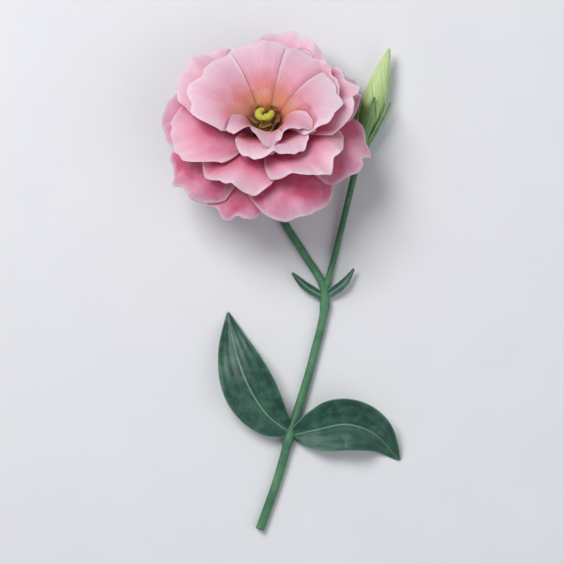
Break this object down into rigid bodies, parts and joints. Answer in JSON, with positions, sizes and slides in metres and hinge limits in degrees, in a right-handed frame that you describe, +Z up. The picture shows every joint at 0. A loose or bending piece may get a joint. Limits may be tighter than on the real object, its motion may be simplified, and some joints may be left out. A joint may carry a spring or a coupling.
{
  "type": "lisianthus flower",
  "caption": "Cut stem of lisianthus lying down: a double pink bloom of layered waved petals, a slim green bud, two leaves and two small bracts.",
  "frame": {"origin": "on the surface that the flower lies on, under the middle of its bounding box", "axes": "+X to the bud's side, +Y from the cut end of the stem towards the bloom, +Z up"},
  "size_m": [0.0924, 0.193, 0.0515],
  "materials": {
    "petal": "matte",
    "stem": "satin",
    "leaf": "matte",
    "sepal": "matte",
    "bud": "satin",
    "stigma": "satin",
    "anther": "matte"
  },
  "bodies": {
    "root": {"petal_01": "petal", "petal_02": "petal", "petal_03": "petal", "petal_04": "petal", "petal_05": "petal", "petal_06": "petal", "petal_07": "petal", "petal_08": "petal", "petal_09": "petal", "petal_10": "petal", "petal_11": "petal", "petal_12": "petal", "petal_13": "petal", "petal_14": "petal", "petal_15": "petal", "petal_16": "petal", "petal_17": "petal", "petal_18": "petal", "petal_19": "petal", "petal_20": "petal", "receptacle": "sepal", "calyx": "sepal", "pistil": "stigma", "stamens": "anther", "stem": "stem", "leaf_left": "leaf", "leaf_right": "leaf", "bract_left": "leaf", "bract_right": "leaf", "bud": "bud", "bud_calyx": "sepal"}
  },
  "joints": []
}
